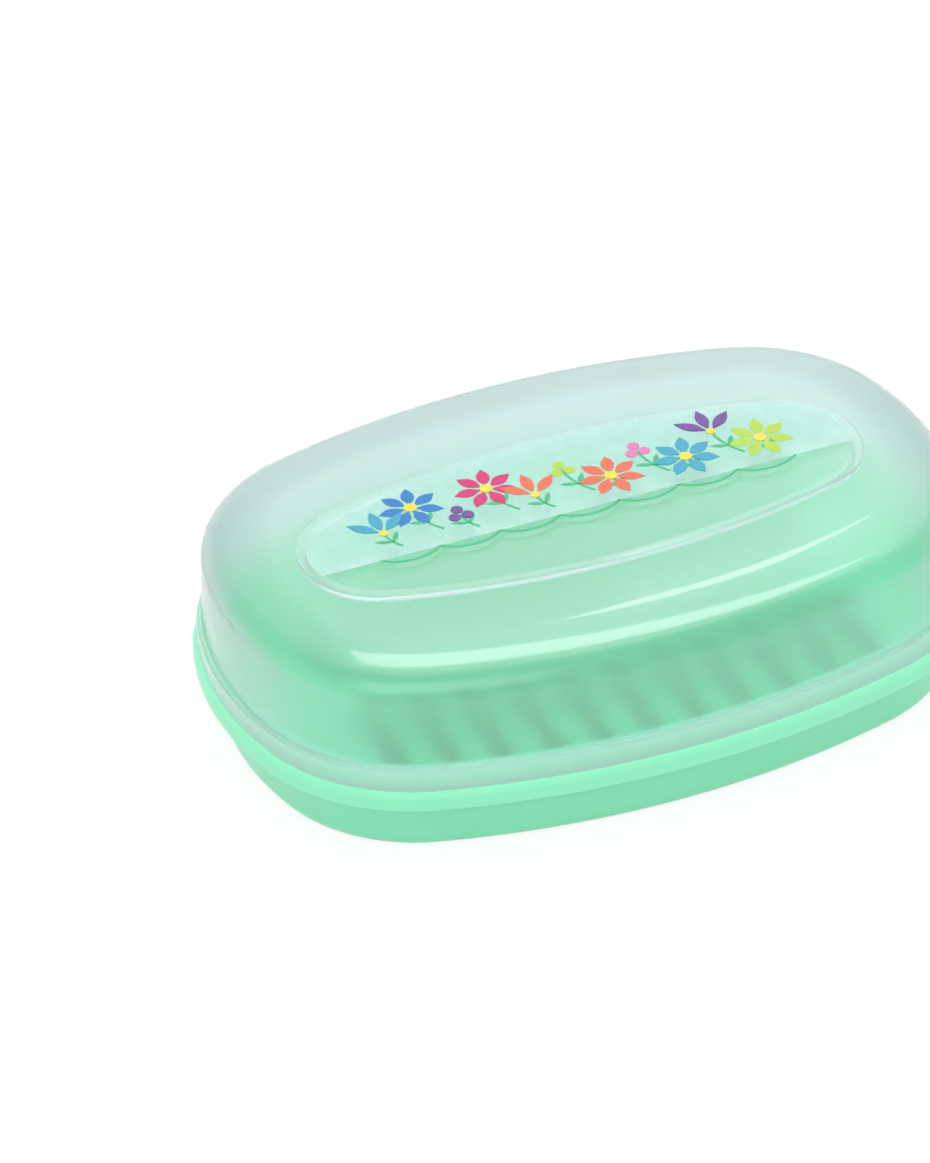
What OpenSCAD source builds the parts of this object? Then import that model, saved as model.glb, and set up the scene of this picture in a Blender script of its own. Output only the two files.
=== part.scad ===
// Covered soap dish: a water tray, a slotted drainer that rests in it, and a lift-off cover.
// The plan outline is a smooth oval of eight tangent arcs, and every wall is a profile swept along it.

/* [Outline] */
// Length of the dish over its rim
body_l = 130; // [112:1:150]
// Width of the dish over its rim
body_w = 88; // [80:1:96]
// Radius of the four corners in plan
corner_r = 31; // [28:1:34]

/* [Water tray] */
// Height of the tray's wall
tray_h = 12.2; // [11.4:0.2:17]
// Wall thickness of the tray
tray_t = 1.5; // [1.2:0.1:2.2]
// Lean of the tray's wall from upright, in degrees
tray_draft = 12; // [4:0.5:14]
// Radius of the tray's lower outer edge
tray_edge_r = 3; // [1.6:0.2:4]
// Height of the hollow under the tray's floor
foot_h = 0.8; // [0.4:0.1:1.4]
// Width of the flat ring that the dish stands on
foot_w = 3; // [2:0.5:6]

/* [Drainer] */
// Wall thickness of the drainer
drain_t = 1.6; // [1.2:0.1:2.2]
// Height of the rim band that hangs outside the tray
rim_h = 3.4; // [2.6:0.1:7.5]
// Radius of the rim band's upper edge
rim_edge_r = 1.2; // [0.6:0.1:1.5]
// Radius of the rim band's lower edge
rim_foot_r = 0.6; // [0.2:0.1:1]
// Gap between the rim band and the tray's wall
rim_gap = 0.3; // [0.2:0.05:0.6]
// Height of the collar above the ledge
collar_h = 3; // [2:0.2:5]
// Depth of the bowl's floor below the ledge
bowl_d = 5.4; // [4.4:0.2:6.4]
// Lean of the bowl's wall from upright, in degrees
bowl_draft = 12; // [6:1:20]
// Radius of the bowl's lower outer edge
bowl_edge_r = 5; // [3:0.2:5.6]
// Width of a drain slot
slot_w = 3; // [2:0.2:4]
// Distance from one drain slot to the next
slot_pitch = 8.2; // [7.4:0.2:11]
// Width of the solid strip along the middle of the floor
spine_w = 7; // [5:0.5:12]
// Solid margin between the slots and the edge of the flat floor
floor_margin = 2.5; // [1.5:0.5:5]
// Width of a soap rib
rib_w = 1.8; // [1.2:0.1:2.6]
// Height of a soap rib above the floor
rib_h = 1.6; // [1:0.1:2.4]

/* [Cover] */
// Height of the cover from its seat to the level round the panel
cover_h = 21.6; // [18:0.2:32]
// Wall thickness of the cover
cover_t = 1.6; // [1.2:0.1:2.2]
// Lean of the cover's wall from upright, in degrees
cover_draft = 1; // [0.5:0.25:3]
// Radius of the cover's shoulder
shoulder_r = 5; // [3.5:0.5:6.5]
// Radius of the gentle curve from the shoulder up to the level round the panel
dome_r = 34; // [24:1:38]
// Slope of the top where the two curves meet, in degrees
dome_slope = 14; // [8:1:16]
// Width of the ledge left bare outside the cover's lip
lip_margin = 0.8; // [0.4:0.1:1.4]
// How far the lip stands out from the cover's wall
lip_proud = 1; // [0.8:0.1:1.5]
// Height of the lip
lip_h = 4.2; // [2.5:0.1:6]
// Radius of the lip's upper edge
lip_edge_r = 0.7; // [0.3:0.1:0.8]
// Gap between the cover's wall and the drainer's collar
cover_gap = 0.4; // [0.25:0.05:0.7]

/* [Panel] */
// Length of the raised panel on the cover
panel_l = 98; // [90:1:106]
// Width of the raised panel
panel_w = 38.6; // [36:0.2:42]
// Radius of the panel's corners
panel_corner_r = 13.5; // [10:0.5:14]
// Height of the panel above the level round it
panel_rise = 0.7; // [0.5:0.1:1.4]
// Radius of the panel's upper edge
panel_edge_r = 0.5; // [0.2:0.1:0.6]

/* [Hidden] */
$fn = 180;

// Overlap that joins two shapes of one piece, and the overrun of a cut
lap = 1;
// Steps that a rounded edge is drawn in
edge_steps = 5;
shoulder_steps = 8;
dome_steps = 4;

// Levels above the table
tray_floor_z = foot_h + tray_t;
ledge_z = tray_h + drain_t;
rim_foot_z = ledge_z - rim_h;
floor_z = ledge_z - bowl_d;
collar_top_z = ledge_z + collar_h;
cover_flat_z = ledge_z + cover_h;
panel_z = cover_flat_z + panel_rise;

// Distances in from the rim's outline
tray_in = drain_t + rim_gap;
cover_in = lip_margin + lip_proud;
collar_in = cover_in + cover_t + cover_gap;

// The arcs of an outline meet where its normal points along one of these two directions
by_end = [0.96, 0.28];
by_side = [0.28, 0.96];

// An outline is [side radius less corner radius, end radius less corner radius, corner radius].
// The first two follow from its length and width, to the nearest quarter millimetre.
function outline(l, w, r) =
    let (
        a = l / 2 - r,
        b = w / 2 - r,
        k = by_side[0],
        j = 1 - by_side[1],
        det = k * k - j * j
    )
    [round(4 * (k * a - j * b) / det) / 4, max(round(4 * (k * b - j * a) / det) / 4, 0), r];

body = outline(body_l, body_w, corner_r);
panel = outline(panel_l, panel_w, panel_corner_r);

// Centres of the corner arc, the upper side arc and the right end arc
function corner_c(o) = by_side[0] * [o[0], o[1]];
function side_c(o) = [0, corner_c(o)[1] - by_side[1] * o[0]];
function end_c(o) = [corner_c(o)[0] - by_end[0] * o[1], 0];

// The eight arcs in order, each as [centre, radius, first direction, last direction, turn of its sweep]
function arcs(o) =
    let (
        s = side_c(o),
        e = end_c(o),
        c = corner_c(o),
        fx = [-1, 1],
        fy = [1, -1]
    )
    [
        [e, o[1] + o[2], flip(by_end, fy), by_end, -90],
        [c, o[2], by_end, by_side, 0],
        [s, o[0] + o[2], by_side, flip(by_side, fx), 0],
        [flip(c, fx), o[2], flip(by_side, fx), flip(by_end, fx), 90],
        [-e, o[1] + o[2], flip(by_end, fx), -by_end, 90],
        [-c, o[2], -by_end, -by_side, 180],
        [-s, o[0] + o[2], -by_side, flip(by_side, fy), 180],
        [flip(c, fy), o[2], flip(by_side, fy), flip(by_end, fy), 270]
    ];
function flip(p, f) = [p[0] * f[0], p[1] * f[1]];

// Half width of an outline, drawn in by d, at a distance x from its middle
function half_width(o, d, x) =
    let (
        s = side_c(o),
        c = corner_c(o),
        rs = o[0] + o[2] - d,
        rc = o[2] - d
    )
    abs(x) < rs * by_side[0] ? s[1] + sqrt(rs * rs - x * x)
        : c[1] + sqrt(max(rc * rc - pow(abs(x) - c[0], 2), 0));

// Centre of the circle of radius r that touches two lines, each a point with its outward normal
function fillet_c(p, n, q, m, r) =
    let (
        a = n * p - r,
        b = m * q - r,
        det = n[0] * m[1] - n[1] * m[0]
    )
    [(a * m[1] - b * n[1]) / det, (b * n[0] - a * m[0]) / det];

function dir(a) = [cos(a), sin(a)];

// Points along an arc from one angle to another
function bend(c, r, from, to, steps) = [for (i = [0 : steps]) c + r * dir(from + (to - from) * i / steps)];

// Sweeps a profile along an outline: its x is the distance out from the outline, its y is the height
module sweep(o) {
    far = 1.25;
    for (arc = arcs(o))
        intersection() {
            translate([arc[0][0], arc[0][1], 0])
                rotate([0, 0, arc[4]])
                    rotate_extrude(angle = 180, $fn = 240)
                        translate([arc[1], 0])
                            children();
            translate([0, 0, -2 * lap])
                linear_extrude(panel_z + 4 * lap)
                    polygon([arc[0], arc[0] + far * arc[1] * arc[2], arc[0] + far * arc[1] * arc[3]]);
        }
}

// A block inside a swept band: it joins the points where the arcs meet, at a depth d in from the outline
module core(o, d, z, h) {
    translate([0, 0, z])
        linear_extrude(h)
            polygon([for (arc = arcs(o)) arc[0] + (arc[1] - d) * arc[2]]);
}

// Depth that a swept band needs so that it covers the gap beside a core set at a depth d
function band(o, d) = d + (o[0] + o[2] - d) * (1 - by_side[1]) + lap;

// Profile of a pan from a depth w in to its leaning wall, with a rounded lower edge
function pan_profile(w, top, draft, floor, top_z, r) =
    let (c = fillet_c([-top, top_z], dir(-draft), [0, floor], [0, -1], r))
    concat(
        [[-w, floor]],
        bend(c, r, -90, -draft, edge_steps),
        [[-top, top_z], [-w, top_z]]
    );

// The tray: a shallow pan with leaning walls, standing on a ring
tray_flat_in = tray_in + (tray_h - tray_edge_r) * tan(tray_draft) + tray_edge_r / cos(tray_draft);
tray_core = ceil(tray_flat_in + lap);
tray_band = band(body, tray_core);
tray_inner_r = max(tray_edge_r - tray_t, 0.5);

module water_tray() {
    color("mediumaquamarine")
        difference() {
            union() {
                sweep(body)
                    polygon(pan_profile(tray_band, tray_in, tray_draft, 0, tray_h, tray_edge_r));
                core(body, tray_core, 0, tray_h);
            }
            tray_cavity();
            foot_recess();
        }
}

module tray_cavity() {
    top = tray_in + tray_t / cos(tray_draft) - lap * tan(tray_draft);
    sweep(body)
        polygon(pan_profile(tray_band, top, tray_draft, tray_floor_z, tray_h + lap, tray_inner_r));
    core(body, tray_core, tray_floor_z, tray_h + lap - tray_floor_z);
}

module foot_recess() {
    edge = tray_flat_in + foot_w;
    w = band(body, edge);
    sweep(body)
        polygon([[-w, -lap], [-edge, -lap], [-edge, foot_h], [-w, foot_h]]);
    core(body, edge + lap / 2, -lap, foot_h + lap);
}

// The drainer: a slotted bowl that hangs by its rim on the tray, with a collar that centres the cover
bowl_h = bowl_d + drain_t;
flat_floor_in = collar_in + bowl_h * tan(bowl_draft) + bowl_edge_r;
bowl_core = ceil(flat_floor_in + lap);
bowl_band = band(body, bowl_core);
slot_in = flat_floor_in + floor_margin;
slot_reach = body_l / 2 - slot_in - corner_r / 3;
slot_count = floor(slot_reach / slot_pitch);

module drainer() {
    color("aquamarine") {
        difference() {
            union() {
                sweep(body)
                    polygon(rim_profile());
                bowl_solid();
            }
            bowl_cavity();
            for (i = [-slot_count : slot_count])
                drain_slots(i * slot_pitch);
        }
        for (i = [-slot_count : slot_count - 1])
            soap_rib((i + 0.5) * slot_pitch);
    }
}

// The band outside the tray, the ledge that the cover stands on and the round-topped collar
function rim_profile() =
    let (
        cap = drain_t / 2,
        back = -collar_in - drain_t
    )
    concat(
        [[-drain_t, rim_foot_z]],
        bend([-rim_foot_r, rim_foot_z + rim_foot_r], rim_foot_r, -90, 0, edge_steps),
        bend([-rim_edge_r, ledge_z - rim_edge_r], rim_edge_r, 0, 90, edge_steps),
        [[-collar_in, ledge_z]],
        bend([-collar_in - cap, collar_top_z - cap], cap, 0, 180, 2 * edge_steps),
        [[back, ledge_z - drain_t], [-drain_t, ledge_z - drain_t]]
    );

module bowl_solid() {
    sweep(body)
        polygon(pan_profile(bowl_band, collar_in, bowl_draft, floor_z - drain_t, ledge_z, bowl_edge_r));
    core(body, bowl_core, floor_z - drain_t, bowl_h);
}

module bowl_cavity() {
    sweep(body)
        polygon(pan_profile(
            bowl_band, collar_in + drain_t, bowl_draft, floor_z, ledge_z, bowl_edge_r - drain_t));
    core(body, bowl_core, floor_z, bowl_d + lap);
}

// A bar with round ends, from one y to another
module round_bar(w, y0, y1) {
    translate([-w / 2, y0])
        square([w, y1 - y0]);
    for (end = [[y0, -1], [y1, 1]])
        intersection() {
            translate([0, end[0]])
                circle(w / 2);
            translate([-w, min(end[0], end[0] + end[1] * w)])
                square([2 * w, w]);
        }
}

// Two slots in line across the floor, one on each side of the spine
module drain_slots(x) {
    end = bar_end(x, slot_w);
    start = (spine_w + slot_w) / 2;
    for (side = [0, 1])
        mirror([0, side, 0])
            translate([x, 0, floor_z - drain_t - lap])
                linear_extrude(drain_t + 2 * lap)
                    round_bar(slot_w, start, end);
}

// A rib across the floor that holds the soap clear of the water
module soap_rib(x) {
    end = bar_end(x, rib_w);
    translate([x, 0, floor_z - drain_t / 2])
        linear_extrude(drain_t / 2 + rib_h)
            round_bar(rib_w, -end, end);
}

// Where a bar across the floor ends, to the nearest tenth of a millimetre
function bar_end(x, w) = round(10 * (half_width(body, slot_in, x) - w / 2)) / 10;

// The cover: a thin shell with a lip, a round shoulder, a domed top and a raised oval panel
flat_in = corner_r - 5;
cover_band = corner_r - lap / 2;

module cover() {
    color("lightcyan", 0.5)
        difference() {
            union() {
                cover_form(0, ledge_z);
                sweep(body)
                    polygon(lip_profile());
            }
            cover_form(cover_t, ledge_z - lap);
        }
}

// The cover's form drawn in by d on every side, down to the level z
module cover_form(d, z) {
    edge_r = d > 0 ? 0 : panel_edge_r;
    w = d + panel_corner_r - 5 * lap;
    top = panel_z - d;
    sweep(body)
        polygon(cover_profile(d, z));
    core(body, flat_in + lap, z, cover_flat_z - d - z);
    sweep(panel)
        polygon(concat(
            [[-w, z], [-d, z]],
            edge_r > 0 ? bend([-edge_r, top - edge_r], edge_r, 0, 90, edge_steps) : [[-d, top]],
            [[-w, top]]
        ));
    core(panel, d + 1.5 * lap, z, top - z);
}

function cover_profile(d, z) =
    let (
        lean = d / cos(cover_draft) + (z - ledge_z) * tan(cover_draft),
        meet = 90 - dome_slope,
        reach = dome_r - shoulder_r,
        rise = cover_flat_z - dome_r + reach * sin(meet),
        c = fillet_c([-cover_in, ledge_z], dir(cover_draft), [0, rise + shoulder_r], [0, 1], shoulder_r)
    )
    concat(
        [[-cover_band, z], [-cover_in - lean, z]],
        bend(c, shoulder_r - d, cover_draft, meet, shoulder_steps),
        bend(c - reach * dir(meet), dome_r - d, meet, 90, dome_steps),
        [[-cover_band, cover_flat_z - d]]
    );

// The bead round the cover's lower edge
function lip_profile() =
    let (
        top = ledge_z + lip_h,
        back = -cover_in - cover_t / 2
    )
    concat(
        [[back, ledge_z], [-lip_margin, ledge_z]],
        bend([-lip_margin - lip_edge_r, top - lip_edge_r], lip_edge_r, 0, 90, edge_steps),
        [[back, top]]
    );

water_tray();
drainer();
cover();
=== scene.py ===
import math

import bmesh
import bpy
from bpy.props import FloatProperty, FloatVectorProperty, IntProperty, PointerProperty
from bpy.types import Operator, Panel, PropertyGroup
from mathutils import Matrix, Vector


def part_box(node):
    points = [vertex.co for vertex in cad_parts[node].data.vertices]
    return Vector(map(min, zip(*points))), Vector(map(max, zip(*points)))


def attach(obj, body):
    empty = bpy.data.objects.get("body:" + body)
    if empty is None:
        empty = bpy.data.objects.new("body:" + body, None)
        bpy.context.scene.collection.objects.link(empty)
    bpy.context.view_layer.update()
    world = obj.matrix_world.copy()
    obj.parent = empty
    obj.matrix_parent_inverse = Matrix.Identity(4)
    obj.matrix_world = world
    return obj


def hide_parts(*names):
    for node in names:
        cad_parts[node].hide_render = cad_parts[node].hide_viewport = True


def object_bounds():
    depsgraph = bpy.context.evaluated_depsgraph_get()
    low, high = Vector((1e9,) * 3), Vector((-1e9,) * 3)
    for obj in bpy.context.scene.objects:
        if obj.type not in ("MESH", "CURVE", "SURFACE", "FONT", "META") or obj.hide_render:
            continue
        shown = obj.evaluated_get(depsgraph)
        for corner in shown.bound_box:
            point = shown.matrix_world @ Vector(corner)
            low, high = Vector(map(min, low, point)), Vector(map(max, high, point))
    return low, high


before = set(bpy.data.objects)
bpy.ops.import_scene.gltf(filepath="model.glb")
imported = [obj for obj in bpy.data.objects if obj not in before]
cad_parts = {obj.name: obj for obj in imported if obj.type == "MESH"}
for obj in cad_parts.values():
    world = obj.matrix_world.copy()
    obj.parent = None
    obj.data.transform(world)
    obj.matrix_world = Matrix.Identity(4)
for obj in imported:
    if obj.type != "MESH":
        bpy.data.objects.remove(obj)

bl_info = {
    "name": "Covered soap dish",
    "version": (1, 0, 0),
    "blender": (4, 5, 0),
    "location": "3D View > Sidebar > Soap Dish",
    "description": "Moulds a covered soap dish round its frame and sets it on a pale stage",
    "category": "Add Mesh",
}

# Corners of the framed solids
FRAME_LOW, FRAME_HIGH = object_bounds()
TRAY_LOW, TRAY_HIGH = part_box("water_tray")
DRAINER_LOW, DRAINER_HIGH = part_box("drainer")
COVER_LOW, COVER_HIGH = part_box("cover")

MM = 0.001

# Two arcs of an outline meet where it faces along (UPRIGHT, SLANT) or (SLANT, UPRIGHT)
SLANT, UPRIGHT = 0.28, 0.96
ARC_STEPS = {"end": 14, "corner": 20, "side": 22}
SHARP_ANGLE = math.radians(38)
WELD = 0.001 * MM

# Size of the photograph's frame
PHOTO_W, PHOTO_H = 930, 1163


def length(name, description, millimetres):
    """A length property, given in millimetres and kept in metres"""
    return FloatProperty(
        name=name, description=description, default=millimetres * MM, min=0, precision=5,
        subtype="DISTANCE", unit="LENGTH")


def lean(name, description, degrees):
    """An angle property, given in degrees and kept in radians"""
    return FloatProperty(
        name=name, description=description, default=math.radians(degrees), precision=4,
        subtype="ANGLE", unit="ROTATION")


def tint(name, description, red, green, blue):
    """A colour property, given as a picture shows it from 0 to 255 and kept linear"""
    linear = [((c / 255 + 0.055) / 1.055) ** 2.4 for c in (red, green, blue)]
    return FloatVectorProperty(
        name=name, description=description, default=linear, min=0, max=1, size=3, subtype="COLOR")


class TraySizes(PropertyGroup):
    """Sizes of the water tray"""
    wall: length("Wall", "Thickness of the tray's wall and floor", 1.5)
    draft: lean("Draft", "Lean of the tray's wall from upright", 12)
    edge: length("Lower edge", "Radius of the tray's lower outer edge", 3)
    foot: length("Foot", "Height of the hollow under the tray's floor", 0.8)
    foot_width: length("Foot width", "Width of the flat ring that the dish stands on", 3)
    brim: length("Brim", "Radius of the tray's top edges", 0.4)


class DrainerSizes(PropertyGroup):
    """Sizes of the drainer"""
    length: length("Length", "Length of the dish over its rim", (DRAINER_HIGH.x - DRAINER_LOW.x) / MM)
    width: length("Width", "Width of the dish over its rim", (DRAINER_HIGH.y - DRAINER_LOW.y) / MM)
    corner: length("Corner", "Radius of the four corners in plan", 31)
    wall: length("Wall", "Thickness of the drainer's wall and floor", 1.6)
    rim: length("Rim", "Height of the rim band that hangs outside the tray", 3.4)
    rim_edge: length("Rim edge", "Radius of the rim band's upper edge", 1.2)
    rim_foot: length("Rim foot", "Radius of the rim band's lower edge", 0.6)
    gap: length("Gap", "Gap between the rim band and the tray's wall", 0.3)
    draft: lean("Draft", "Lean of the bowl's wall from upright", 12)
    edge: length("Bowl edge", "Radius of the bowl's lower outer edge", 5)
    slot: length("Slot", "Width of a drain slot", 3)
    pitch: length("Pitch", "Distance from one drain slot to the next", 8.2)
    spine: length("Spine", "Width of the solid strip along the middle of the floor", 7)
    margin: length("Margin", "Solid margin between the slots and the edge of the flat floor", 2.5)
    rib: length("Rib", "Width of a soap rib", 1.8)
    rib_height: length("Rib height", "Height of a soap rib above the floor", 1.6)
    soft: length("Soft edge", "Radius of the edges of the slots and the ribs", 0.25)


class CoverSizes(PropertyGroup):
    """Sizes of the cover and its raised panel"""
    wall: length("Wall", "Thickness of the cover", 1.6)
    draft: lean("Draft", "Lean of the cover's wall from upright", 1)
    shoulder: length("Shoulder", "Radius of the cover's shoulder", 5)
    dome: length("Dome", "Radius of the gentle curve from the shoulder up to the level", 34)
    slope: lean("Slope", "Slope of the top where the shoulder meets the dome", 14)
    ledge: length("Ledge", "Width of the ledge left bare outside the lip", 0.8)
    lip_proud: length("Lip", "How far the lip stands out from the cover's wall", 1)
    lip_height: length("Lip height", "Height of the lip", 4.2)
    lip_edge: length("Lip edge", "Radius of the lip's upper edge", 0.7)
    gap: length("Gap", "Gap between the cover's wall and the drainer's collar", 0.4)
    panel_length: length("Panel length", "Length of the raised panel", 98)
    panel_width: length("Panel width", "Width of the raised panel", 38.6)
    panel_corner: length("Panel corner", "Radius of the panel's corners", 13.5)
    panel_rise: length("Panel rise", "Height of the panel above the level round it", 0.7)
    panel_edge: length("Panel edge", "Radius of the panel's upper edge", 0.5)
    fillet: length("Fillet", "Radius in the cover's small corners", 0.25)


class PrintSizes(PropertyGroup):
    """Sizes of the garland printed on the panel"""
    ink: length("Ink", "Thickness of one layer of ink", 0.02)
    margin: length("Margin", "Bare margin between the tinted field and the panel's far edge", 1.6)
    near: length("Near edge", "Distance from the panel's middle to the scallops, towards the viewer", 3.5)
    scallop: length("Scallop", "Width of one scallop", 10.5)
    scallop_depth: length("Scallop depth", "How far a scallop hangs down", 1.8)
    line: length("Line", "Width of the drawn lines", 0.5)
    rise: length("Rise", "Distance from the scallops to the lower row of flowers", 7)
    step: length("Step", "Distance between the two rows of flowers", 5)
    petal: length("Petal", "Length of a petal", 4.6)
    heart: length("Heart", "Radius of a flower's heart", 1.1)
    berry: length("Berry", "Radius of a berry", 1)


class Colours(PropertyGroup):
    """Colours of the plastics and the inks"""
    mint: tint("Mint", "Opaque plastic of the tray", 132, 225, 180)
    mint_light: tint("Light mint", "Opaque plastic of the drainer", 140, 228, 185)
    # Painted light: the bowl inside the collar is the drainer's own plastic with the rim's finish, given a deeper,
    # greener copy of its colour that stands for the light under the cover
    mint_bowl_painted_light: tint("Bowl mint", "Opaque plastic of the drainer's matt inside", 102, 240, 174)
    clear: tint("Clear", "Light that the cover's plastic lets through", 230, 240, 245)
    clear_light: tint("Clear to lamps", "Lamp light that one face of the cover lets through", 253, 255, 255)
    field: tint("Field", "Ink of the tinted field", 205, 240, 236)
    green: tint("Green", "Ink of the scallops and the stems", 60, 180, 125)
    blue: tint("Blue", "Ink of flowers", 25, 120, 190)
    magenta: tint("Magenta", "Ink of flowers", 205, 30, 110)
    orange: tint("Orange", "Ink of flowers", 228, 105, 75)
    lime: tint("Lime", "Ink of flowers and berries", 175, 210, 60)
    yellow: tint("Yellow", "Ink of the flowers' hearts", 235, 215, 70)
    teal: tint("Teal", "Ink of flowers", 50, 160, 190)
    violet: tint("Violet", "Ink of flowers and berries", 110, 65, 150)
    pink: tint("Pink", "Ink of flowers and berries", 225, 120, 175)


class StageSettings(PropertyGroup):
    """The camera, the lamps and the floor"""
    azimuth: lean("Azimuth", "Turn of the camera round the dish", -22)
    elevation: lean("Elevation", "Height of the camera above the horizon", 35)
    roll: lean("Roll", "Turn of the camera about its own axis", -1.5)
    distance: length("Distance", "Distance from the camera to the dish", 1400)
    scale: FloatProperty(name="Scale", description="Photograph pixels to a millimetre", default=6.08)
    middle_x: FloatProperty(name="Middle across", description="Photograph pixel of the dish's middle", default=583.6)
    middle_y: FloatProperty(name="Middle down", description="Photograph pixel of the dish's middle", default=579.5)
    middle_height: length("Middle height", "Height of the point that these pixels show", 19.5)
    world: FloatProperty(name="World", description="Strength of the light from all round", default=0.97)
    floor: FloatProperty(name="Floor", description="Width of the floor", default=8, subtype="DISTANCE", unit="LENGTH")


class SoapDish(PropertyGroup):
    """Everything that can be set on the dish"""
    tray: PointerProperty(type=TraySizes)
    drainer: PointerProperty(type=DrainerSizes)
    cover: PointerProperty(type=CoverSizes)
    print: PointerProperty(type=PrintSizes)
    colours: PointerProperty(type=Colours)
    stage: PointerProperty(type=StageSettings)


def to_quarter(size):
    """The nearest quarter of a millimetre"""
    return round(size / MM * 4) / 4 * MM


class Oval:
    """A smooth plan outline of eight tangent arcs: two ends, two sides and four corners"""

    def __init__(self, length, width, corner):
        far, near = length / 2 - corner, width / 2 - corner
        flat = 1 - UPRIGHT
        share = SLANT * SLANT - flat * flat
        side = to_quarter((SLANT * far - flat * near) / share)
        end = max(to_quarter((SLANT * near - flat * far) / share), 0)
        self.corner_r, self.side_r, self.end_r = corner, corner + side, corner + end
        self.corner_c = Vector((SLANT * side, SLANT * end, 0))
        self.side_c = Vector((0, self.corner_c.y - UPRIGHT * side, 0))
        self.end_c = Vector((self.corner_c.x - UPRIGHT * end, 0, 0))
        self.narrow = 2 * math.asin(SLANT)
        self.length = length

    def arcs(self):
        """Centre, angle and steps of each arc, counter-clockwise from the lower end of the right-hand arc"""
        corner = self.corner_c
        wide = math.pi / 2 - self.narrow
        half = [
            (self.end_c, self.narrow, ARC_STEPS["end"]),
            (corner, wide, ARC_STEPS["corner"]),
            (self.side_c, self.narrow, ARC_STEPS["side"]),
            (Vector((-corner.x, corner.y, 0)), wide, ARC_STEPS["corner"]),
        ]
        return half + [(-centre, angle, steps) for centre, angle, steps in half]

    def depth(self, x, y):
        """How far in from the outline a point lies"""
        x, y = abs(x), abs(y)
        if x * UPRIGHT < (y - self.side_c.y) * SLANT:
            return self.side_r - math.hypot(x, y - self.side_c.y)
        if y * UPRIGHT < (x - self.end_c.x) * SLANT:
            return self.end_r - math.hypot(x - self.end_c.x, y)
        return self.corner_r - math.hypot(x - self.corner_c.x, y - self.corner_c.y)

    def half_width(self, inset, x):
        """Half width of the outline drawn in by inset, at a distance x from its middle"""
        x = abs(x)
        if x < (self.side_r - inset) * SLANT:
            return self.side_c.y + math.sqrt((self.side_r - inset) ** 2 - x * x)
        inner = (self.corner_r - inset) ** 2 - (x - self.corner_c.x) ** 2
        return self.corner_c.y + math.sqrt(max(inner, 0))


def section(bm, corners):
    """Draws a chain of edges through (distance in, height, radius) corners and rounds each corner"""
    points = [Vector((-inset, 0, height)) for inset, height, _ in corners]
    verts = [bm.verts.new(point) for point in points]
    for pair in zip(verts, verts[1:]):
        bm.edges.new(pair)
    for i in range(1, len(points) - 1):
        radius = corners[i][2]
        turn = math.pi - (points[i - 1] - points[i]).angle(points[i + 1] - points[i])
        if radius and turn > math.radians(1):
            bmesh.ops.bevel(
                bm, geom=[verts[i]], offset=radius * math.tan(turn / 2), offset_type="OFFSET",
                segments=4 + round(radius * turn / (0.9 * MM)), profile=0.5, affect="VERTICES",
                material=-1, clamp_overlap=False)


def sweep(bm, oval, corners):
    """Spins a section round an oval. Returns the new vertices"""
    old = set(bm.verts)
    section(bm, corners)
    chain = [v for v in bm.verts if v not in old] + [e for e in bm.edges if e.verts[0] not in old]
    start = (
        Matrix.Translation(oval.end_c)
        @ Matrix.Rotation(-oval.narrow / 2, 4, "Z")
        @ Matrix.Translation((oval.end_r, 0, 0)))
    bmesh.ops.transform(bm, matrix=start, verts=[g for g in chain if isinstance(g, bmesh.types.BMVert)])
    for centre, angle, steps in oval.arcs():
        spun = bmesh.ops.spin(
            bm, geom=chain, cent=centre, axis=(0, 0, 1), angle=angle, steps=steps, use_merge=False)
        chain = spun["geom_last"]
    bmesh.ops.remove_doubles(bm, verts=[v for v in bm.verts if v not in old], dist=WELD)
    return [v for v in bm.verts if v not in old]


def open_edges(bm, low=-1.0, high=1.0):
    """The open edges of a mesh between two heights"""
    return [e for e in bm.edges if e.is_boundary and all(low <= v.co.z <= high for v in e.verts)]


def shade(bm):
    """Turns the faces outwards and rounds all but the sharp edges"""
    bmesh.ops.recalc_face_normals(bm, faces=bm.faces)
    for face in bm.faces:
        face.smooth = True
    for edge in bm.edges:
        edge.smooth = edge.calc_face_angle(0) < SHARP_ANGLE


def make_object(name, bm):
    """Puts a bmesh in a new object at the origin"""
    mesh = bpy.data.meshes.new(name)
    bm.to_mesh(mesh)
    bm.free()
    made = bpy.data.objects.new(name, mesh)
    bpy.context.scene.collection.objects.link(made)
    return made


def seat(piece, body, materials, node=None):
    """Gives a piece its finishes and seats it on a body of the frame"""
    for material in materials:
        piece.data.materials.append(material)
    normals = piece.modifiers.new("even_normals", "WEIGHTED_NORMAL")
    normals.mode, normals.keep_sharp = "FACE_AREA", True
    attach(piece, body)
    if node:
        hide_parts(node)


def combine(piece, tool, operation):
    """Adds a tool to a piece or cuts it out, and removes the tool"""
    step = piece.modifiers.new("combine", "BOOLEAN")
    step.operation, step.solver, step.object = operation, "EXACT", tool
    evaluated = piece.evaluated_get(bpy.context.evaluated_depsgraph_get())
    result = bpy.data.meshes.new_from_object(evaluated)
    result.materials.clear()
    piece.modifiers.clear()
    piece.data = result
    bpy.data.objects.remove(tool)


class Value:
    """A number in a shader. Arithmetic on it adds Math nodes"""

    def __init__(self, finish, socket):
        self.finish, self.socket = finish, socket

    def maths(self, operation, *values):
        node = self.finish.add("Math", {"operation": operation}, dict(enumerate(values)))
        return Value(self.finish, node.outputs[0])

    def __add__(self, other):
        return self.maths("ADD", self, other)

    def __sub__(self, other):
        return self.maths("SUBTRACT", self, other)

    def __rsub__(self, other):
        return self.maths("SUBTRACT", other, self)

    def __mul__(self, other):
        return self.maths("MULTIPLY", self, other)

    __radd__ = __add__
    __rmul__ = __mul__


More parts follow.
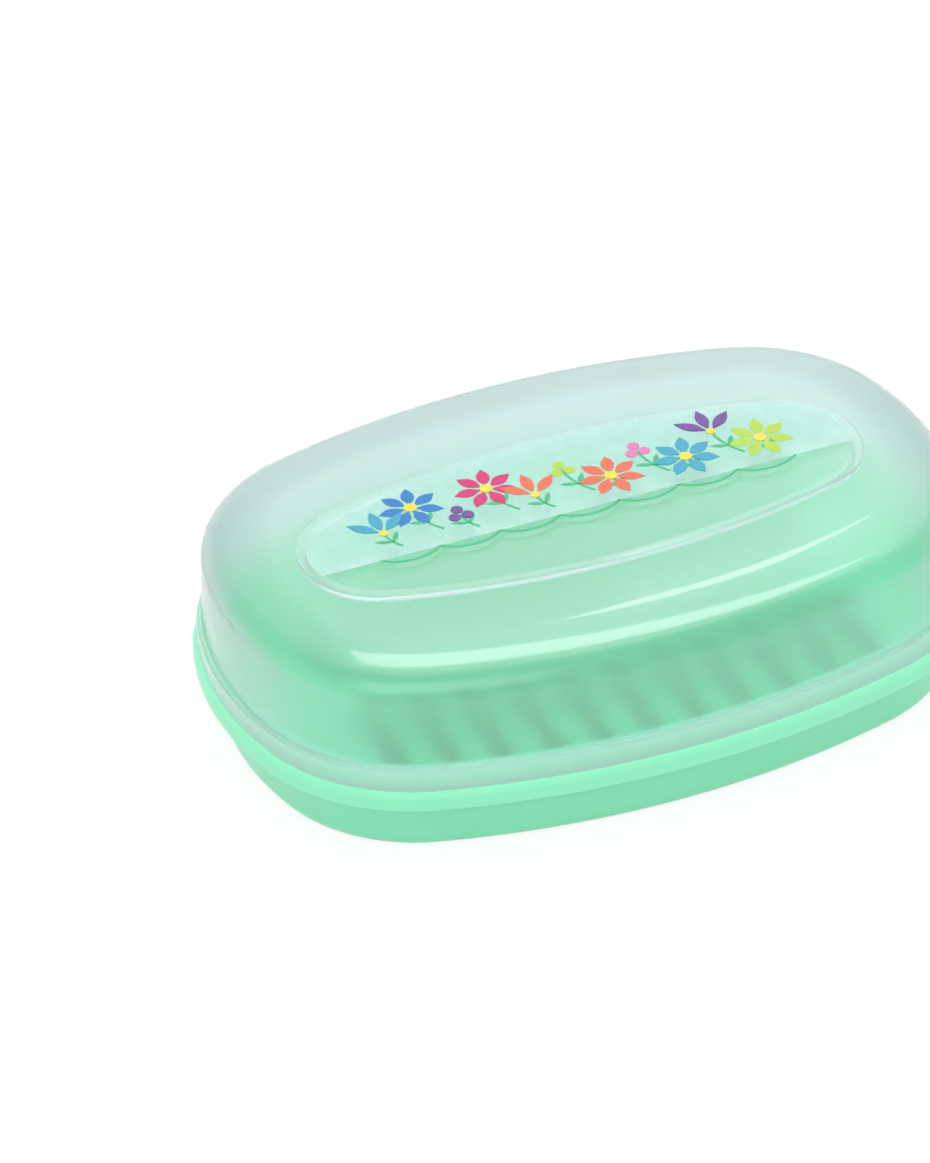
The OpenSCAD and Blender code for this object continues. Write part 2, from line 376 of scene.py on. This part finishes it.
class Finish:
    """The shader nodes of one material, or of a world"""

    def __init__(self, owner):
        self.owner = owner
        self.owner.use_nodes = True
        self.tree = self.owner.node_tree
        self.tree.nodes.clear()

    @classmethod
    def of(cls, name):
        """The nodes of a new material"""
        return cls(bpy.data.materials.new(name))

    def add(self, kind, settings, sockets):
        """Adds a node: its type, its settings, and the values or links of its sockets"""
        node = self.tree.nodes.new("ShaderNode" + kind)
        for name, value in settings.items():
            setattr(node, name, value)
        for name, value in sockets.items():
            if isinstance(value, Value):
                value = value.socket
            if isinstance(value, bpy.types.NodeSocket):
                self.tree.links.new(value, node.inputs[name])
            elif hasattr(value, "__len__") and len(value) == 3 and len(node.inputs[name].default_value) == 4:
                node.inputs[name].default_value = (*value, 1)
            else:
                node.inputs[name].default_value = value
        return node

    def noise(self, scale, detail=2.0, stretch=(1, 1, 1)):
        """Cloudy noise on object coordinates, with scale cells to a metre"""
        place = self.add("TexCoord", {}, {}).outputs["Object"]
        mapped = self.add("Mapping", {}, {"Vector": place, "Scale": stretch}).outputs[0]
        node = self.add("TexNoise", {}, {"Vector": mapped, "Scale": scale, "Detail": detail})
        return Value(self, node.outputs["Fac"])

    def mix(self, factor, first, second):
        """A colour between two others"""
        sockets = {0: factor, 6: first, 7: second}
        return self.add("Mix", {"data_type": "RGBA"}, sockets).outputs[2]

    def bump(self, height, depth, strength=1.0):
        """A normal from a height of 0 to 1 over a depth in metres"""
        node = self.add("Bump", {}, {"Height": height, "Distance": depth, "Strength": strength})
        return node.outputs[0]

    def ray(self, *kinds):
        """How much a ray is one of some kinds, as 0 or 1"""
        path = self.add("LightPath", {}, {})
        return sum(Value(self, path.outputs[f"Is {kind} Ray"]) for kind in kinds)

    def show(self, shader, output="OutputMaterial"):
        """Ends the tree in a shader"""
        self.add(output, {}, {"Surface": shader})
        return self.owner


def shaded(colour, share):
    """A colour made darker or lighter by a share"""
    return [min(c * share, 1) for c in colour]


def moulded_mint(name, colour):
    """Opaque mint plastic as it comes from the mould: faint flow clouds and a fine satin grain"""
    finish = Finish.of(name)
    clouds = finish.noise(26, 3)
    grain = finish.noise(2600, 2)
    wave = finish.noise(70, 1)
    skin = finish.mix(clouds, shaded(colour, 0.96), shaded(colour, 1.03))
    normal = finish.bump(grain * 0.35 + wave * 0.65, 0.05 * MM, 0.5)
    plastic = finish.add("BsdfPrincipled", {}, {
        "Base Color": skin,
        "Roughness": grain * 0.08 + 0.27,
        "Normal": normal,
        "IOR": 1.49,
        "Subsurface Weight": 0.5,
        "Subsurface Radius": (0.5, 1.0, 0.8),
        "Subsurface Scale": 4 * MM,
    })
    return finish.show(plastic.outputs[0])


def clear_plastic(name, colour, colour_to_lamps, milk, clearness):
    """Translucent plastic with a bright skin: part clear, part milky, and open to lamp light"""
    finish = Finish.of(name)
    grain = finish.noise(1800, 2)
    wave = finish.noise(55, 1)
    normal = finish.bump(wave, 0.04 * MM, 0.6)
    plastic = finish.add("BsdfPrincipled", {}, {
        "Base Color": colour,
        "Roughness": grain * 0.05 + 0.3,
        "Normal": normal,
        "IOR": 1.45,
        "Specular IOR Level": 0.1,
        "Transmission Weight": clearness,
        "Coat Weight": 0.6,
        "Coat Roughness": 0.05,
    })
    milky = finish.add("BsdfTranslucent", {}, {"Color": colour, "Normal": normal})
    skin = finish.add("MixShader", {}, {0: milk, 1: plastic.outputs[0], 2: milky.outputs[0]})
    open_face = finish.add("BsdfTransparent", {}, {"Color": colour_to_lamps})
    lit = finish.ray("Shadow", "Diffuse")
    both = finish.add("MixShader", {}, {0: lit, 1: skin.outputs[0], 2: open_face.outputs[0]})
    return finish.show(both.outputs[0])


def printed_ink(name, colour):
    """Screen ink, a little uneven in the print"""
    finish = Finish.of(name)
    cover = finish.noise(420, 3)
    ink = finish.add("BsdfPrincipled", {}, {
        "Base Color": finish.mix(cover, shaded(colour, 0.88), shaded(colour, 1.12)),
        "Roughness": cover * 0.1 + 0.35,
    })
    return finish.show(ink.outputs[0])


def printed_tint(name, colour):
    """A thin wash of ink that the plastic shows through"""
    finish = Finish.of(name)
    cover = finish.noise(160, 3)
    ink = finish.add("BsdfPrincipled", {}, {
        "Base Color": finish.mix(cover, shaded(colour, 0.95), shaded(colour, 1.04)),
        "Roughness": 0.4,
        "Alpha": cover * 0.1 + 0.3,
    })
    return finish.show(ink.outputs[0])


def pale_floor(name):
    """A pale floor that the camera sees as white, with the dish's shadow kept"""
    finish = Finish.of(name)
    matt = finish.add("BsdfDiffuse", {}, {"Color": (0.9, 0.9, 0.9)})
    glow = finish.add("Emission", {}, {"Color": (1, 1, 1), "Strength": 1.1})
    seen = finish.ray("Camera", "Glossy", "Transmission") * 0.75
    both = finish.add("MixShader", {}, {0: seen, 1: matt.outputs[0], 2: glow.outputs[0]})
    return finish.show(both.outputs[0])


def dish_oval(dish):
    """Plan outline of the rim, from which every wall is measured inwards"""
    return Oval(dish.drainer.length, dish.drainer.width, dish.drainer.corner)


class WaterTray(Operator):
    """Moulds the shallow pan that the dish stands on"""
    bl_idname = "soap_dish.water_tray"
    bl_label = "Water Tray"

    def execute(self, context):
        dish = context.scene.soap_dish
        sizes = dish.tray
        top = TRAY_HIGH.z
        outer = dish.drainer.wall + dish.drainer.gap
        inner = outer + sizes.wall / math.cos(sizes.draft)
        fall = math.tan(sizes.draft)
        floor = sizes.foot + sizes.wall
        ring = outer + (top - sizes.edge) * fall + sizes.edge / math.cos(sizes.draft) + sizes.foot_width
        deep = ring + 6 * MM
        bm = bmesh.new()
        sweep(bm, dish_oval(dish), [
            (deep, sizes.foot, 0),
            (ring, sizes.foot, sizes.brim / 2),
            (ring, 0, sizes.brim / 2),
            (outer + top * fall, 0, sizes.edge),
            (outer, top, sizes.brim),
            (inner, top, sizes.brim),
            (inner + (top - floor) * fall, floor, sizes.edge - sizes.wall),
            (deep, floor, 0),
        ])
        bmesh.ops.holes_fill(bm, edges=open_edges(bm))
        shade(bm)
        tray = make_object("water_tray_moulding", bm)
        seat(tray, "dish", [moulded_mint("mint_plastic", dish.colours.mint)], "water_tray")
        return {"FINISHED"}


def bar(bm, width, start, end, low, high):
    """Adds an upright bar with round ends along Y, centred on X"""
    made = bmesh.ops.create_cube(bm, size=1)["verts"]
    bmesh.ops.scale(bm, vec=(width, end - start, high - low), verts=made)
    bmesh.ops.translate(bm, vec=(0, (start + end) / 2, (low + high) / 2), verts=made)
    upright = {e for v in made for e in v.link_edges if abs(e.verts[0].co.z - e.verts[1].co.z) > WELD}
    upright = [e for e in bm.edges if e in upright]
    bmesh.ops.bevel(
        bm, geom=upright, offset=width / 2 * 0.999, segments=8, profile=0.5, affect="EDGES", material=-1)


class Drainer(Operator):
    """Moulds the slotted bowl that hangs by its rim on the tray and holds the soap"""
    bl_idname = "soap_dish.drainer"
    bl_label = "Drainer"

    def execute(self, context):
        dish = context.scene.soap_dish
        sizes, cover, oval = dish.drainer, dish.cover, dish_oval(dish)
        ledge, collar_top = COVER_LOW.z, DRAINER_HIGH.z
        under = DRAINER_LOW.z
        floor = under + sizes.wall
        rim_foot = ledge - sizes.rim
        collar = cover.ledge + cover.lip_proud + cover.wall + cover.gap
        fall = math.tan(sizes.draft)
        back = collar + sizes.wall
        flat = collar + (ledge - under) * fall + sizes.edge
        slot_in = flat + sizes.margin
        deep = flat + sizes.margin / 2
        round_top = sizes.wall * 0.49
        bm = bmesh.new()
        sweep(bm, oval, [
            (deep, under, 0),
            (collar + (ledge - under) * fall, under, sizes.edge),
            (collar + sizes.wall * fall, ledge - sizes.wall, sizes.soft),
            (sizes.wall, ledge - sizes.wall, sizes.soft),
            (sizes.wall, rim_foot, sizes.soft),
            (0, rim_foot, sizes.rim_foot),
            (0, ledge, sizes.rim_edge),
            (collar, ledge, sizes.soft),
            (collar, collar_top, round_top),
            (back, collar_top, round_top),
            (back, ledge, sizes.edge),
            (back + (ledge - floor) * fall, floor, sizes.edge - sizes.wall),
            (deep, floor, 0),
        ])
        bmesh.ops.holes_fill(bm, edges=open_edges(bm))
        shade(bm)
        piece = make_object("drainer_moulding", bm)
        reach = sizes.length / 2 - slot_in - sizes.corner / 3
        count = math.floor(reach / sizes.pitch)
        combine(piece, self.slots(oval, sizes, slot_in, count, under, floor), "DIFFERENCE")
        combine(piece, self.ribs(oval, sizes, slot_in, count, floor), "UNION")
        bm = bmesh.new()
        bm.from_mesh(piece.data)
        self.soften(bm, oval, sizes, slot_in, under, floor)
        shade(bm)
        # Faces of the bowl inside the collar take the second finish, a copy of the drainer's plastic with painted
        # light in its colour
        for face in bm.faces:
            x, y, z = face.calc_center_median()
            face.material_index = int(z > floor - WELD and oval.depth(x, y) > back)
        bm.to_mesh(piece.data)
        bm.free()
        finishes = [
            moulded_mint("mint_plastic_light", dish.colours.mint_light),
            moulded_mint("mint_plastic_bowl", dish.colours.mint_bowl_painted_light),
        ]
        seat(piece, "dish", finishes, "drainer")
        return {"FINISHED"}

    @staticmethod
    def slots(oval, sizes, slot_in, count, under, floor):
        """Cutters for the drain slots, two in line on each side of the spine"""
        bm = bmesh.new()
        for column in range(-count, count + 1):
            x = column * sizes.pitch
            end = oval.half_width(slot_in, x)
            for side in (-1, 1):
                old = set(bm.verts)
                bar(bm, sizes.slot, sizes.spine / 2, end, under - sizes.wall, floor + sizes.wall)
                new = [v for v in bm.verts if v not in old]
                bmesh.ops.scale(bm, vec=(1, side, 1), verts=new)
                bmesh.ops.translate(bm, vec=(x, 0, 0), verts=new)
        bmesh.ops.recalc_face_normals(bm, faces=bm.faces)
        return make_object("slot_cutters", bm)

    @staticmethod
    def ribs(oval, sizes, slot_in, count, floor):
        """Ribs across the floor that hold the soap clear of the water"""
        bm = bmesh.new()
        for gap in range(-count, count):
            x = (gap + 0.5) * sizes.pitch
            end = oval.half_width(slot_in, x)
            old = set(bm.verts)
            bar(bm, sizes.rib, -end, end, floor - sizes.wall / 2, floor + sizes.rib_height)
            new = [v for v in bm.verts if v not in old]
            top = [
                e for e in bm.edges
                if e.verts[0] not in old and all(v.co.z > floor + sizes.soft for v in e.verts)]
            bmesh.ops.bevel(
                bm, geom=top, offset=sizes.rib * 0.4, segments=4, profile=0.5, affect="EDGES", material=-1)
            new = [v for v in bm.verts if v not in old]
            bmesh.ops.translate(bm, vec=(x, 0, 0), verts=new)
        bmesh.ops.recalc_face_normals(bm, faces=bm.faces)
        return make_object("rib_bars", bm)

    @staticmethod
    def soften(bm, oval, sizes, slot_in, under, floor):
        """Rounds the edges of the slots where they meet the floor"""
        bmesh.ops.dissolve_degenerate(bm, dist=WELD, edges=bm.edges)
        found = []
        for edge in bm.edges:
            a, b = (v.co for v in edge.verts)
            level = any(abs(a.z - z) < WELD and abs(b.z - z) < WELD for z in (under, floor))
            inside = oval.depth(a.x, a.y) > slot_in - 2 * WELD
            if level and inside and edge.calc_face_angle(0) > math.radians(60):
                found.append(edge)
        bmesh.ops.bevel(
            bm, geom=found, offset=sizes.soft, segments=2, profile=0.5, affect="EDGES", material=-1)


class Cover(Operator):
    """Moulds the translucent cover with its lip, round shoulder and raised panel"""
    bl_idname = "soap_dish.cover"
    bl_label = "Cover"

    def execute(self, context):
        dish = context.scene.soap_dish
        sizes, oval = dish.cover, dish_oval(dish)
        panel = Oval(sizes.panel_length, sizes.panel_width, sizes.panel_corner)
        seat_z, panel_z = COVER_LOW.z, COVER_HIGH.z
        level = panel_z - sizes.panel_rise
        fall = math.tan(sizes.draft)
        lip_top = seat_z + sizes.lip_height
        outer = sizes.ledge + sizes.lip_proud
        inner = outer + sizes.wall / math.cos(sizes.draft)
        dome_end, dome, shoulder = self.crown(sizes, outer, seat_z, level, 0)
        inner_dome, inner_shoulder = self.crown(sizes, inner, seat_z, level, sizes.wall)[1:]
        deep = dome_end + sizes.fillet
        bm = bmesh.new()
        sweep(bm, oval, [
            (deep, level, 0),
            dome,
            shoulder,
            (outer + sizes.lip_height * fall, lip_top, sizes.fillet),
            (sizes.ledge, lip_top, sizes.lip_edge),
            (sizes.ledge, seat_z, sizes.fillet),
            (inner, seat_z, sizes.fillet),
            inner_shoulder,
            inner_dome,
            (deep, level - sizes.wall, 0),
        ])
        for high, inset, edge in ((level, 0, sizes.panel_edge), (level - sizes.wall, sizes.wall, sizes.fillet)):
            roof = high + sizes.panel_rise
            sweep(bm, panel, [
                (inset - 2 * sizes.fillet, high, 0),
                (inset, high, sizes.fillet),
                (inset, roof, edge),
                (sizes.wall + 2 * sizes.fillet, roof, 0),
            ])
            bmesh.ops.triangle_fill(bm, use_beauty=True, edges=open_edges(bm, high - WELD, high + WELD))
            bmesh.ops.holes_fill(bm, edges=open_edges(bm, roof - WELD, roof + WELD))
        shade(bm)
        # Painted highlight: the lip and the panel's rim take a paler, less clear copy of the cover's plastic
        for face in bm.faces:
            x, y, z = face.calc_center_median()
            rim = z > level + WELD and panel.depth(x, y) < sizes.wall + 2 * sizes.fillet
            lip = z < lip_top + WELD and oval.depth(x, y) < outer + sizes.fillet
            face.material_index = int(rim or lip)
        cover = make_object("cover_moulding", bm)
        colours = dish.colours
        finishes = [
            clear_plastic("clear_plastic", colours.clear, colours.clear_light, 0.08, 1.0),
            # The same plastic made less clear, so the lip and the panel's rim show a painted highlight
            clear_plastic("clear_plastic_edge", colours.clear, colours.clear_light, 0.08, 0.8),
        ]
        seat(cover, "cover", finishes, "cover")
        return {"FINISHED"}

    @staticmethod
    def crown(sizes, inset, seat_z, level, depth):
        """Where the dome ends and the corners of the dome and the shoulder, at a depth in the wall"""
        shoulder, dome = sizes.shoulder - depth, sizes.dome - depth
        level, fall, slope = level - depth, math.tan(sizes.draft), math.tan(sizes.slope)
        reach = dome - shoulder
        centre_z = level - dome + reach * math.cos(sizes.slope)
        centre_in = inset + (centre_z - seat_z) * fall + shoulder / math.cos(sizes.draft)
        end = centre_in + reach * math.sin(sizes.slope)
        dome_in = end - dome * math.tan(sizes.slope / 2)
        turn = (inset + (level - dome_in * slope - seat_z) * fall) / (1 - fall * slope)
        return end, (dome_in, level, dome), (turn, level - (dome_in - turn) * slope, shoulder)


# The garland from left to right: each motif and its ink, in two rows by turns
GARLAND = (
    ("tulip", "teal"), ("daisy", "blue"), ("berries", "violet"), ("daisy", "magenta"), ("tulip", "orange"),
    ("berries", "lime"), ("daisy", "orange"), ("berries", "pink"), ("daisy", "teal"), ("tulip", "violet"),
    ("daisy", "lime"))

# Layers of ink from the panel up
LAYERS = ("field", "green", "blue", "lime", "magenta", "orange", "pink", "teal", "violet", "yellow")


def spot(bm, radius, place, stretch=1.0, turn=0.0):
    """Adds a flat round or oval spot"""
    made = bmesh.ops.create_circle(bm, cap_ends=True, radius=radius, segments=24)["verts"]
    bmesh.ops.scale(bm, vec=(stretch, 1, 1), verts=made)
    bmesh.ops.rotate(bm, matrix=Matrix.Rotation(turn, 3, "Z"), verts=made)
    bmesh.ops.translate(bm, vec=place, verts=made)


def leaf(bm, size, stretch, place, turn):
    """Adds a flat pointed leaf that starts at a place and points along a direction"""
    old = set(bm.verts)
    made = bmesh.ops.create_circle(bm, cap_ends=True, radius=size / 2, segments=4)["verts"]
    bmesh.ops.scale(bm, vec=(1, stretch * 2, 1), verts=made)
    sides = [v for v in made if abs(v.co.y) > WELD]
    bmesh.ops.bevel(bm, geom=sides, offset=size * 0.3, segments=5, profile=0.5, affect="VERTICES", material=-1)
    made = [v for v in bm.verts if v not in old]
    bmesh.ops.translate(bm, vec=(size / 2, 0, 0), verts=made)
    bmesh.ops.rotate(bm, matrix=Matrix.Rotation(turn, 3, "Z"), verts=made)
    bmesh.ops.translate(bm, vec=place, verts=made)


def stroke(bm, centre, radius, start, turn, width):
    """Adds a flat line of even width along an arc"""
    toward = Vector((math.cos(start), math.sin(start), 0))
    ends = [bm.verts.new(centre + toward * (radius + side * width / 2)) for side in (-1, 1)]
    line = bm.edges.new(ends)
    steps = 2 + round(abs(turn) * radius / (0.8 * MM))
    bmesh.ops.spin(bm, geom=[*ends, line], cent=centre, axis=(0, 0, 1), angle=turn, steps=steps)


class Print(Operator):
    """Prints a garland of flowers on the far half of the panel"""
    bl_idname = "soap_dish.print"
    bl_label = "Print"

    def execute(self, context):
        dish = context.scene.soap_dish
        sizes, cover = dish.print, dish.cover
        panel = Oval(cover.panel_length, cover.panel_width, cover.panel_corner)
        inks = {name: bmesh.new() for name in LAYERS}
        count = 2 * math.floor(panel.length / 2 / sizes.scallop) - 1
        self.scallops(inks, panel, sizes, count)
        pitch = count * sizes.scallop / len(GARLAND)
        for i, (motif, ink) in enumerate(GARLAND):
            place = Vector(((i - (len(GARLAND) - 1) / 2) * pitch, sizes.rise + i % 2 * sizes.step - sizes.near, 0))
            self.stem(inks["green"], sizes, place)
            getattr(self, motif)(inks, ink, sizes, place)
        for layer, (name, bm) in enumerate(inks.items()):
            self.pour(bm, name, sizes.ink * (1 + layer), COVER_HIGH.z, getattr(dish.colours, name))
        return {"FINISHED"}

    @staticmethod
    def scallops(inks, panel, sizes, count):
        """The tinted field over the far half of the panel and the scalloped line along its near edge"""
        chord, depth = sizes.scallop, sizes.scallop_depth
        radius = (chord * chord / 4 + depth * depth) / (2 * depth)
        turn = 2 * math.asin(chord / 2 / radius)
        field = inks["field"]
        sweep(field, panel, [(sizes.margin, 0, 0), (sizes.margin + sizes.line, 0, 0)])
        middle = sizes.margin + sizes.line / 2
        inner = [e for e in open_edges(field) if panel.depth(*e.verts[0].co.xy) > middle]
        bmesh.ops.holes_fill(field, edges=inner)
        bmesh.ops.bisect_plane(
            field, geom=[*field.verts, *field.edges, *field.faces], plane_co=(0, -sizes.near, 0),
            plane_no=(0, 1, 0), clear_inner=True)
        for i in range(count):
            middle = Vector(((i - (count - 1) / 2) * chord, -sizes.near - depth + radius, 0))
            stroke(inks["green"], middle, radius, -math.pi / 2 - turn / 2, turn, sizes.line)

    @staticmethod
    def stem(bm, sizes, place):
        """A bent stem from the scallops up to a flower, with two leaves"""
        height = place.y + sizes.near
        radius = height
        centre = Vector((place.x + radius, place.y, 0))
        stroke(bm, centre, radius, math.pi, math.radians(40), sizes.line)
        foot = centre - Vector((math.cos(math.radians(25)), math.sin(math.radians(25)), 0)) * radius
        for turn in (60, 160):
            leaf(bm, sizes.petal * 0.7, 0.22, foot, math.radians(turn))

    @staticmethod
    def daisy(inks, ink, sizes, place):
        """Seven pointed petals round a yellow heart"""
        for i in range(7):
            turn = math.tau * (i + 0.5) / 7
            start = place + Vector((math.cos(turn), math.sin(turn), 0)) * sizes.heart * 0.9
            leaf(inks[ink], sizes.petal, 0.34, start, turn)
        spot(inks["yellow"], sizes.heart, place)

    @staticmethod
    def tulip(inks, ink, sizes, place):
        """Three pointed petals that open upwards from a short base"""
        for turn in (42, 90, 138):
            angle = math.radians(turn)
            start = place + Vector((math.cos(angle), math.sin(angle), 0)) * sizes.heart * 0.8
            leaf(inks[ink], sizes.petal * 1.2, 0.26, start, angle)
        spot(inks["yellow"], sizes.heart * 0.7, place)

    @staticmethod
    def berries(inks, ink, sizes, place):
        """Three berries in a bunch"""
        for turn in (90, 210, 330):
            angle = math.radians(turn)
            spot(inks[ink], sizes.berry, place + Vector((math.cos(angle), math.sin(angle), 0)) * sizes.berry * 1.3)

    @staticmethod
    def pour(bm, name, thickness, level, colour):
        """Thickens a flat drawing into a layer of ink on the panel"""
        raised = bmesh.ops.extrude_face_region(bm, geom=bm.faces)["geom"]
        raised = [g for g in raised if isinstance(g, bmesh.types.BMVert)]
        bmesh.ops.translate(bm, vec=(0, 0, thickness), verts=raised)
        bmesh.ops.translate(bm, vec=(0, 0, level), verts=bm.verts)
        bmesh.ops.recalc_face_normals(bm, faces=bm.faces)
        piece = make_object("print_" + name, bm)
        finish = printed_tint if name == "field" else printed_ink
        seat(piece, "cover", [finish("ink_" + name, colour)])


def area_lamp(name, place, aim, width, height, power):
    """Adds a soft rectangular lamp"""
    lamp = bpy.data.lights.new(name, "AREA")
    lamp.shape, lamp.size, lamp.size_y, lamp.energy = "RECTANGLE", width, height, power
    made = bpy.data.objects.new(name, lamp)
    made.location = place
    made.rotation_mode = "QUATERNION"
    made.rotation_quaternion = (Vector(aim) - Vector(place)).to_track_quat("-Z", "Y")
    bpy.context.scene.collection.objects.link(made)
    return made


class Stage(Operator):
    """Sets the camera, the lamps and the pale floor"""
    bl_idname = "soap_dish.stage"
    bl_label = "Stage"

    def execute(self, context):
        scene, stage = context.scene, context.scene.soap_dish.stage
        self.camera(scene, stage)
        self.world(scene, stage)
        bm = bmesh.new()
        bmesh.ops.create_grid(bm, x_segments=1, y_segments=1, size=stage.floor / 2)
        bmesh.ops.translate(bm, vec=(0, 0, FRAME_LOW.z), verts=bm.verts)
        floor = make_object("floor", bm)
        floor.data.materials.append(pale_floor("floor_paint"))
        middle = (0, 0, stage.middle_height)
        area_lamp("window_lamp", (0.28, 0.55, 1.02), middle, 0.5, 0.2, 2)
        area_lamp("low_lamp", (0.44, 0.92, 0.85), middle, 0.1, 0.12, 0.25)
        area_lamp("fill_lamp", (-0.7, -1.3, 1.3), middle, 1.8, 1.2, 7)
        scene.view_settings.view_transform = "Standard"
        return {"FINISHED"}

    @staticmethod
    def camera(scene, stage):
        """Stands the camera where the photograph was taken from, aimed beside the dish as it was"""
        turn, rise, roll = stage.azimuth, stage.elevation, stage.roll
        back = Vector((math.sin(turn) * math.cos(rise), -math.cos(turn) * math.cos(rise), math.sin(rise)))
        right = Vector((math.cos(turn), math.sin(turn), 0))
        up = back.cross(right)
        across = right * math.cos(roll) + up * math.sin(roll)
        above = up * math.cos(roll) - right * math.sin(roll)
        middle = Vector((0, 0, stage.middle_height))
        metres = MM / stage.scale
        aim = (
            middle
            + across * (PHOTO_W / 2 - stage.middle_x) * metres
            - above * (PHOTO_H / 2 - stage.middle_y) * metres)
        place = middle + back * stage.distance
        back = (place - aim).normalized()
        across = (across - back * across.dot(back)).normalized()
        above = back.cross(across)
        lens = bpy.data.cameras.new("camera")
        lens.lens = lens.sensor_width * stage.distance * stage.scale / (MM * PHOTO_H)
        lens.clip_start, lens.clip_end = stage.distance / 100, stage.distance * 20
        camera = bpy.data.objects.new("camera", lens)
        camera.matrix_world = Matrix.Translation(place) @ Matrix((across, above, back)).transposed().to_4x4()
        scene.collection.objects.link(camera)
        scene.camera = camera

    @staticmethod
    def world(scene, stage):
        """Even white light from all round, which the camera sees as plain white"""
        world = bpy.data.worlds.new("white_room")
        finish = Finish(world)
        light, seen = (
            finish.add("Background", {}, {"Color": (1, 1, 1), "Strength": strength}).outputs[0]
            for strength in (stage.world, 1.0))
        shown = finish.ray("Camera", "Glossy", "Transmission")
        both = finish.add("MixShader", {}, {0: shown, 1: light, 2: seen})
        scene.world = finish.show(both.outputs[0], "OutputWorld")


class SoapDishPanel(Panel):
    """Lists the steps and the sizes in the sidebar"""
    bl_idname = "VIEW3D_PT_soap_dish"
    bl_label = "Soap Dish"
    bl_space_type = "VIEW_3D"
    bl_region_type = "UI"
    bl_category = "Soap Dish"

    def draw(self, context):
        column = self.layout.column()
        for step in STEPS:
            column.operator(step.bl_idname)
        dish = context.scene.soap_dish
        for group in (dish.tray, dish.drainer, dish.cover, dish.print, dish.colours, dish.stage):
            box = self.layout.box()
            for name in group.bl_rna.properties.keys():
                if name not in ("rna_type", "name"):
                    box.prop(group, name)


STEPS = (WaterTray, Drainer, Cover, Print, Stage)
GROUPS = (TraySizes, DrainerSizes, CoverSizes, PrintSizes, Colours, StageSettings, SoapDish)
CLASSES = (*GROUPS, *STEPS, SoapDishPanel)


def register():
    for made in CLASSES:
        bpy.utils.register_class(made)
    bpy.types.Scene.soap_dish = PointerProperty(type=SoapDish)


def unregister():
    del bpy.types.Scene.soap_dish
    for made in reversed(CLASSES):
        bpy.utils.unregister_class(made)


def main():
    register()
    bpy.ops.soap_dish.water_tray()
    bpy.ops.soap_dish.drainer()
    bpy.ops.soap_dish.cover()
    bpy.ops.soap_dish.print()
    bpy.ops.soap_dish.stage()


if __name__ == "__main__":
    main()
